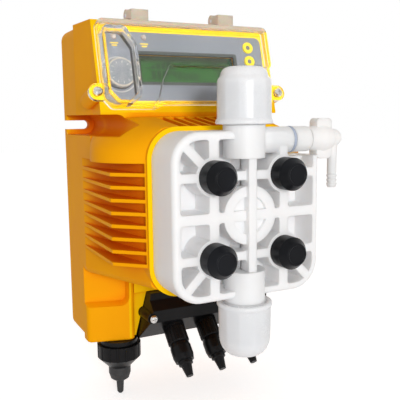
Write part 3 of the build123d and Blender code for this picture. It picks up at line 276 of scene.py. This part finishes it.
label = Finish("panel_label")
across, down = panel_axes(label)
paper = label.noise(0.05, 3.0)
grit = label.noise(0.0002, 2.0)
face = label.mix(paper.between(0.3, 0.7), (0.150, 0.172, 0.215), (0.175, 0.198, 0.245))
bezel = rounded_box(across, down, display_middle, (35.2, 10.6), 1.5)
face = label.mix(bezel.between(0.25, -0.25), face, (0.035, 0.045, 0.045))
marks = None
for x in lamps_across:
    for y, length in ((14.2, 2.6), (15.7, 1.7)):
        mark = rounded_box(across, down, (x, y), (length, 0.35), 0.3).between(0.15, -0.15)
        marks = mark if marks is None else marks.most(mark)
face = label.mix(marks, face, (0.78, 0.56, 0.01))
dial_line = abs(distance(across, down, (dial_across, dial_down)) - 10.6)
face = label.mix(dial_line.between(0.45, 0.25), face, (0.42, 0.43, 0.45))
frame_line = rounded_box(across, down, (0, 28.25), (54.6, 21.4), 4.0)
face = label.mix(frame_line.between(-0.1, 0.15), face, (0.99, 0.60, 0.003))
label.shade(
    Base_Color=face, Roughness=paper * 0.1 + grit * 0.08 + 0.34, Normal=label.relief(grit, 0.000004))
label.on("label_film")

# ---------------------------------------------------------------- display
# Tinted pane over a reflective liquid crystal module with two rows of faint character cells. The
# crystal's top band is painted darker, as painted shade from the pane's frame.
pane = Finish("display_pane")
smear = pane.noise(0.012, 4.0)
pane.shade(
    Base_Color=(0.74, 0.84, 0.70), Roughness=smear * 0.08 + 0.03, Transmission_Weight=1.0, IOR=1.16,
    Normal=pane.relief(smear, 0.00001)).on("display_window")

cell_width, cell_height = 3.5, 6.6
crystal = Finish("display_module")
across, down = panel_axes(crystal)
glass = rounded_box(across, down, display_middle, (30.5, 7.6), 0.6)
cell_x = abs(((across + 8 * cell_width) / cell_width).fract() - 0.5)
cell_y = abs(((down - 22.6) / cell_height).fract() - 0.5)
cells = cell_x.between(0.42, 0.36) * cell_y.between(0.44, 0.39)
cells = cells * rounded_box(across, down, (0, 29.2), (28.0, 6.6), 0.1).between(0.1, -0.1)
# Painted shade: the crystal goes dark towards its top edge, standing in for the shadow of the pane's
# frame.
crystal_green_painted_shade = crystal.mix(down.between(21.8, 26.0), (0.030, 0.036, 0.016), (0.032, 0.150, 0.026))
filled = crystal.noise(0.009, 0.0).between(0.50, 0.53)  # which cells show anything
crystal_green_painted_shade = crystal.mix(cells * filled * 0.7, crystal_green_painted_shade, (0.012, 0.032, 0.012))
fine = crystal.noise(0.0004, 2.0)
crystal.shade(
    Base_Color=crystal.mix(glass.between(0.1, -0.1), (0.028, 0.028, 0.028), crystal_green_painted_shade),
    Roughness=fine * 0.1 + 0.16, Normal=crystal.relief(fine, 0.000003)).on("display_parts")

# ---------------------------------------------------------------- circuit boards
# Green solder mask over copper tracks, and the parts soldered to them.
solder_mask = Finish("circuit_board")
x, z = solder_mask.along(1, 0, 0), solder_mask.along(0, 0, 1)
grid = abs((x * 0.4).fract() - 0.5) * abs((z * 0.4).fract() - 0.5)
tracks = (solder_mask.noise(0.006, 0.0) * 6.0 + grid).fract()
tracks = abs(tracks - 0.5).between(0.16, 0.12)
weave = solder_mask.noise(0.0006, 2.0)
solder_mask.shade(
    Base_Color=solder_mask.mix(tracks, (0.012, 0.10, 0.035), (0.03, 0.20, 0.07)),
    Roughness=weave * 0.2 + 0.25, Normal=solder_mask.relief(tracks + weave * 0.3, 0.00003))
solder_mask.on("display_board", "control_board")
moulded("board_parts", (0.020, 0.020, 0.023), (0.045, 0.045, 0.050), 0.35).on("board_parts")

# ---------------------------------------------------------------- status lamps
# Clear lens on a small diode, faintly pink where the die shows through.
lens = Finish("lamp_lens")
glow = lens.noise(0.0012, 2.0)
lens.shade(
    Base_Color=lens.mix(glow.between(0.4, 0.6), (0.50, 0.40, 0.38), (0.42, 0.41, 0.41)),
    Roughness=glow * 0.1 + 0.08, Subsurface_Weight=0.4, Subsurface_Radius=(0.8, 0.5, 0.4),
    Subsurface_Scale=0.001, Coat_Weight=0.2, Normal=lens.relief(glow, 0.00001)).on("status_lamps")

# ---------------------------------------------------------------- keys
# Four silicone keys in a column, yellow with a dark hub; the hollow in the middle takes the finger.
key_across, first_key_down, key_pitch = 44.5, 14.0, 9.2
silicone = Finish("silicone_key")
across, down = panel_axes(silicone)
hub = None
for i in range(4):
    far = distance(across, down, (key_across, first_key_down + key_pitch * i))
    hub = far if hub is None else hub.least(far)
dust = silicone.noise(0.0009, 4.0)
body = silicone.mix(hub.between(1.35, 1.6), (0.12, 0.13, 0.15), (0.80, 0.62, 0.006))
silicone.shade(
    Base_Color=silicone.mix(dust.between(0.55, 0.8) * 0.1, body, (0.75, 0.68, 0.35)),
    Roughness=dust * 0.2 + 0.42,
    Normal=silicone.relief(dust, 0.00001, silicone.soft_edges(0.0004)))
silicone.on("panel_key_1", "panel_key_2", "panel_key_3", "panel_key_4")

# ---------------------------------------------------------------- stroke dial
# Grey moulded dial with a fluted rim and a plain face, marked with ten plain ticks. Its stub goes
# through the panel to the sensor behind.
dial = Finish("dial_grey")
across, down = panel_axes(dial)
side, drop = across - dial_across, down - dial_down
far = (side * side + drop * drop) ** 0.5
angle = dial.node("ShaderNodeMath", {"operation": "ARCTAN2"}, {0: drop, 1: side})
turn = angle * (11 / (2 * math.pi))  # a gap takes the eleventh place
tick = abs(turn.fract() - 0.5).between(0.045, 0.03) * abs(far - 6.2).between(0.7, 0.55)
cloud = dial.noise(0.004, 4.0)
body = dial.mix(cloud.between(0.3, 0.7), (0.16, 0.18, 0.21), (0.20, 0.22, 0.25))
body = dial.mix(tick, body, (0.60, 0.60, 0.60))
# Painted highlight: a pale beige ring along the crest of the rim.
body = dial.mix(abs(far - 8.3).between(0.6, 0.3) * 0.6, body, (0.55, 0.50, 0.42))
dial.shade(
    Base_Color=body, Roughness=cloud * 0.15 + 0.28,
    Normal=dial.relief(cloud, 0.00002, dial.soft_edges(0.0005)))


def skinned(name, rings, finish, closed=False):
    """Smooth piece with a skin from each ring of points to the next, and round to the first if closed."""
    built = bmesh.new()
    rows = [[built.verts.new(point) for point in ring] for ring in rings]
    for inner, outer in zip(rows, rows[1:] + (rows[:1] if closed else [])):
        for i in range(len(inner)):
            j = (i + 1) % len(inner)
            built.faces.new((inner[i], inner[j], outer[j], outer[i]))
    bmesh.ops.remove_doubles(built, verts=built.verts, dist=1e-7)
    bmesh.ops.recalc_face_normals(built, faces=built.faces)
    mesh = bpy.data.meshes.new(name)
    built.to_mesh(mesh)
    built.free()
    mesh.polygons.foreach_set("use_smooth", [True] * len(mesh.polygons))
    piece = bpy.data.objects.new(name, mesh)
    scene.collection.objects.link(piece)
    finish.on(piece)
    return piece


# (radius, height over the panel), mm, from the stub up to the middle of the face
dial_profile = [
    (2.9, -6.0), (2.9, 0.4), (9.2, 0.4), (9.2, 3.4), (9.0, 4.2), (8.4, 4.8), (7.8, 5.0), (7.3, 4.9),
    (7.0, 4.5), (6.6, 4.4), (0.0, 4.4), (0.0, -6.0)]
flutes, flute_steps, flute_depth = 24, 8, 0.35
rings = []
for radius, height in dial_profile:
    depth = flute_depth if radius >= 9 else 0
    ring = []
    for i in range(flutes * flute_steps):
        turn = 2 * math.pi * i / (flutes * flute_steps)
        reach = radius - depth * max(0, math.cos(flutes * turn)) ** 3
        up = reach * math.sin(turn) - dial_down
        y, z = (panel_edge[k - 1] - up * panel_down[k] + height * panel_out[k] for k in (1, 2))
        ring.append(Vector((reach * math.cos(turn) + dial_across, y, z)) * MM)
    rings.append(ring)
fluted_dial = skinned("fluted_dial", rings, dial)
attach(fluted_dial, "dial")
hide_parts("stroke_dial")

# ---------------------------------------------------------------- clear cover
# Injection-moulded polycarbonate, clear with a warm tint that shows where one looks along its walls.
# The top rim and the hinge lugs are thick and look milky beige.
clear = Finish("cover_clear")
ripple = clear.noise(0.02, 2.0)
haze = clear.noise(0.004, 6.0, 0.7).between(0.60, 0.78)
clear.shade(
    Base_Color=(0.985, 0.965, 0.93), Roughness=haze * 0.10 + 0.02, Transmission_Weight=1.0, IOR=1.38,
    Normal=clear.relief(ripple, 0.00012, clear.soft_edges(0.0008)))
lit = clear.node("ShaderNodeLightPath", output="Is Shadow Ray")
open_air = clear.node("ShaderNodeBsdfTransparent", None, {"Color": (0.96, 0.94, 0.90)})
through = clear.mix_shaders(lit, clear.shaded, open_air)
milk = clear.node("ShaderNodeBsdfPrincipled", None, {
    "Base Color": (0.78, 0.70, 0.58), "Roughness": 0.35, "Subsurface Weight": 0.6,
    "Subsurface Scale": 0.004})
height = clear.along(0, 0, 1, shift=panel_edge[1])
wisp = clear.noise(0.009, 3.0) * 1.6 - 0.8
milkiness = (height + wisp).between(-3.6, -1.6) * 0.68
clear.feed(clear.end, clear.mix_shaders(milkiness, through, milk))
clear.on("clear_cover")

# ---------------------------------------------------------------- liquid end
# Thick ribbed block moulded in natural white fluoropolymer: waxy, slightly see-through at thin edges.


def milky(name, colour, deep, gloss, scatter, grain=0.0006):
    """Natural translucent plastic with flow marks from the mould."""
    made = Finish(name)
    flow = made.noise(0.022, 3.0, 0.6)
    fine = made.noise(grain, 3.0)
    stain = made.noise(0.05, 5.0, 0.7).between(0.55, 0.85)
    body = made.mix(flow.between(0.3, 0.75), colour, deep)
    return made.shade(
        Base_Color=made.mix(stain * 0.08, body, (0.86, 0.78, 0.75)),
        Roughness=flow * 0.12 + fine * 0.08 + (gloss - 0.1), Subsurface_Weight=0.55,
        Subsurface_Radius=(1.0, 0.88, 0.82), Subsurface_Scale=scatter, IOR=1.42,
        Normal=made.relief(flow + fine * 0.25, 0.00008, made.soft_edges(0.0007)))


milky("head_white", (0.955, 0.955, 0.965), (0.97, 0.965, 0.97), 0.42, 0.007).on(
    "pump_head", "discharge_valve_body", "suction_valve_body", "suction_ball_cage", "hose_nipples",
    "clamp_rings")

# ---------------------------------------------------------------- bolt caps
# Black plastic caps over the head screws, with a fine grain and eased edges.
moulded("bolt_cap", (0.004, 0.0045, 0.006), (0.008, 0.009, 0.012), 0.34, grain=0.0004, depth=0.00002,
        edge=0.0007, sheen=0.12).on("bolt_caps")

# ---------------------------------------------------------------- valves
# Union nuts in bluish natural plastic over threaded stubs; inside, ceramic balls on turned seats.
# The upper nut ends in a stepped collar, and the lower one is rounded off.
nut_plastic = milky("union_nut", (0.90, 0.91, 0.955), (0.935, 0.94, 0.97), 0.26, 0.012)
flats, flat_steps = 12, 12
first_flat = 0.19  # radians
profile_length = 29.8
# (radius, height from the inner end, how far the flats show), mm
nut_skirt = [
    (12.3, 0.0, 0), (15.0, 0.0, 0), (15.4, 0.5, 0), (15.4, 1.7, 0), (15.0, 2.3, 0), (14.8, 3.0, 1),
    (14.8, 3.6, 1), (14.7, 12.0, 1)]
stepped_end = [
    (14.6, 21.0, 1), (14.5, 22.6, 1), (14.2, 23.4, 1), (13.5, 24.2, 0.6), (12.9, 24.9, 0.2),
    (12.6, 25.6, 0), (12.3, 26.8, 0), (11.5, 28.2, 0), (10.2, 29.2, 0)]
rounded_end = [
    (14.5, 19.5, 1), (14.2, 22.0, 0.8), (13.6, 24.0, 0.5), (12.7, 26.0, 0.2), (11.4, 27.8, 0),
    (10.0, 29.0, 0)]
nut_bore = [
    (8.6, 29.7, 0), (7.4, 29.8, 0), (6.8, 29.5, 0), (6.6, 28.9, 0), (6.6, 26.0, 0), (12.1, 20.5, 0),
    (12.15, 1.0, 0)]
for up, name, nut_end in ((1, "discharge", stepped_end), (-1, "suction", rounded_end)):
    low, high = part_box(f"{name}_union_nut")
    middle = (low + high) / 2
    inner_end = low.z if up > 0 else high.z
    stretch = (high.z - low.z) / profile_length
    rings = []
    for radius, height, cut in nut_skirt + nut_end + nut_bore:
        ring = []
        for i in range(flats * flat_steps):
            turn = 2 * math.pi * i / (flats * flat_steps)
            off = math.pi / flats - (turn + first_flat) % (2 * math.pi / flats)
            flat = 0.45 + 0.55 * math.cos(math.pi / flats) / math.cos(off)
            reach = radius * (1 - cut + cut * flat) * MM
            ring.append(Vector((
                middle.x + reach * math.cos(turn), middle.y + reach * math.sin(turn),
                inner_end + up * height * stretch)))
        rings.append(ring)
    nut = skinned(f"{name}_ribbed_nut", rings, nut_plastic, closed=True)
    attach(nut, f"{name}_nut")
    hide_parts(f"{name}_union_nut")

milky("valve_seat", (0.78, 0.80, 0.80), (0.84, 0.85, 0.84), 0.3, 0.002).on(
    "discharge_valve_seat", "suction_valve_seat")
ceramic = Finish("ball_ceramic")
speck = ceramic.noise(0.0015, 3.0)
ceramic.shade(
    Base_Color=ceramic.mix(speck, (0.86, 0.85, 0.80), (0.91, 0.90, 0.87)),
    Roughness=speck * 0.06 + 0.07, Normal=ceramic.relief(speck, 0.000002))
ceramic.on("discharge_valve_ball", "suction_valve_ball")


def rubber(name, colour, pale, gloss):
    made = Finish(name)
    bloom = made.noise(0.003, 5.0, 0.7)
    fine = made.noise(0.0005, 3.0)
    return made.shade(
        Base_Color=made.mix(bloom.between(0.45, 0.8), colour, pale), Roughness=bloom * 0.2 + gloss,
        Normal=made.relief(fine, 0.00002, made.soft_edges(0.0003)))


rubber("seal_blue", (0.40, 0.46, 0.58), (0.48, 0.53, 0.62), 0.35).on("valve_seals", "bleed_seal")

# ---------------------------------------------------------------- bleed valve
# Needle valve screwed into the head, with a two-winged knob and a barbed tail for a small hose.
milky("bleed_white", (0.90, 0.895, 0.89), (0.92, 0.91, 0.90), 0.34, 0.008).on(
    "bleed_valve_body", "bleed_knob")

# ---------------------------------------------------------------- diaphragm
# Rubber disc faced with fluoropolymer, clamped at its rim and pushed by a core at its middle.
rubber("membrane_white", (0.74, 0.74, 0.71), (0.84, 0.84, 0.81), 0.38).on(
    "diaphragm_membrane", "diaphragm_core")
moulded("disc_grey", (0.10, 0.10, 0.11), (0.15, 0.15, 0.16), 0.5).on("back_disc", "end_stop")

# ---------------------------------------------------------------- solenoid
# Turned iron parts round a wound coil; the armature's rod runs in a sintered bronze bush.
turned_metal("solenoid_iron", (0.36, 0.36, 0.36), (0.22, 0.21, 0.20), 0.42).on(
    "pole_piece", "solenoid_can", "armature")
turned_metal("rod_steel", (0.72, 0.72, 0.72), (0.60, 0.60, 0.60), 0.18, 0.00012).on("thrust_rod")
turned_metal("bush_bronze", (0.58, 0.36, 0.14), (0.36, 0.21, 0.09), 0.42, 0.0003).on("rod_bush")
turned_metal("spring_steel", (0.56, 0.56, 0.57), (0.40, 0.40, 0.42), 0.25).on("return_spring")
moulded("bobbin_nylon", (0.66, 0.63, 0.52), (0.74, 0.71, 0.60), 0.45).on("coil_bobbin")
wire_pitch = 0.6
copper = Finish("copper_winding")
wave = (copper.along(0, 1, 0) * (2 * math.pi / wire_pitch)).sine() * 0.5 + 0.5
tarnish = copper.noise(0.004, 3.0)
copper.shade(
    Base_Color=copper.mix(tarnish, (0.60, 0.20, 0.07), (0.45, 0.13, 0.05)), Metallic=0.85,
    Roughness=tarnish * 0.2 + 0.22, Normal=copper.relief(wave, 0.0002)).on("coil_winding")

# ---------------------------------------------------------------- connector box and plugs
# Black moulded box under the drum; three round plugs stand out of its slanted face.
black = moulded(
    "black_plastic", (0.004, 0.004, 0.0045), (0.008, 0.008, 0.009), 0.30, depth=0.00002, sheen=0.14)
black.on("connector_box", "signal_sockets", "plug_bodies", "plug_ring_1", "plug_ring_2", "plug_ring_3")

# ---------------------------------------------------------------- cable gland
# Screwed gland under the left foot; a rubber tail closes it.
black.on("gland_body", "gland_locknut", "gland_nut")
rubber("gland_rubber", (0.014, 0.014, 0.015), (0.035, 0.034, 0.034), 0.45).on("gland_tail")

# ---------------------------------------------------------------- floor, backdrop and light
# Pale floor under the gland's tip; everything behind is white. One soft lamp stands in front,
# a little to the left, and the room gives an even light from all sides.


def seen_directly(wiring):
    """1 for what the camera, a reflection or clear plastic shows, 0 for the light on the pump."""
    camera_ray, glossy_ray, clear_ray = (
        wiring.node("ShaderNodeLightPath", output=f"Is {kind} Ray")
        for kind in ("Camera", "Glossy", "Transmission"))
    return camera_ray.most(glossy_ray).most(clear_ray)


floor_half = 3.0
floor_z = cad_box[0][2]
corners = [(x, y, floor_z) for x, y in ((-1, -1), (1, -1), (1, 1), (-1, 1))]
corners = [(floor_half * x, floor_half * y, z) for x, y, z in corners]
mesh = bpy.data.meshes.new("floor")
mesh.from_pydata(corners, [], [(0, 1, 2, 3)])
floor = bpy.data.objects.new("floor", mesh)
scene.collection.objects.link(floor)
pale = Finish("floor_pale")
dusty = pale.noise(0.3, 3.0)
pale.shade(
    Base_Color=pale.mix(dusty, (0.79, 0.80, 0.825), (0.81, 0.82, 0.845)),
    Roughness=dusty * 0.1 + 0.8, Normal=pale.relief(pale.noise(0.002, 2.0), 0.0001))
white = pale.node("ShaderNodeEmission", None, {"Color": (1, 1, 1), "Strength": 0.62})
brightened = pale.node("ShaderNodeAddShader", None, {0: white, 1: pale.shaded})
pale.feed(pale.end, pale.mix_shaders(seen_directly(pale), pale.shaded, brightened))
pale.on(floor)

scene.world = bpy.data.worlds.new("room")
scene.world.use_nodes = True
room = Wiring(scene.world.node_tree)
room_light = room.node("ShaderNodeBackground", None, {"Color": (1.0, 0.95, 0.90), "Strength": 0.50})
backdrop = room.node("ShaderNodeBackground", None, {"Color": (1, 1, 1), "Strength": 1.0})
shown = room.node("ShaderNodeMixShader", None, {0: seen_directly(room), 1: room_light, 2: backdrop})
room.feed(room.tree.nodes["World Output"].inputs["Surface"], shown)


def soft_lamp(name, azimuth, height, distance, size, level):
    """Square lamp that faces the pump's middle. Level 1 lights a facing surface to its own colour."""
    lamp = bpy.data.objects.new(name, bpy.data.lights.new(name, "AREA"))
    scene.collection.objects.link(lamp)
    lamp.data.size = size
    lamp.data.energy = level * math.pi ** 2 * distance ** 2
    turned, raised = math.radians(azimuth), math.radians(height)
    towards = Vector((
        math.sin(turned) * math.cos(raised), -math.cos(turned) * math.cos(raised), math.sin(raised)))
    lamp.location = Vector((0, -0.07, 0)) + towards * distance
    lamp.rotation_euler = (-towards).to_track_quat("-Z", "Y").to_euler()


soft_lamp("front_lamp", azimuth=-11, height=7, distance=1.3, size=0.26, level=0.48)
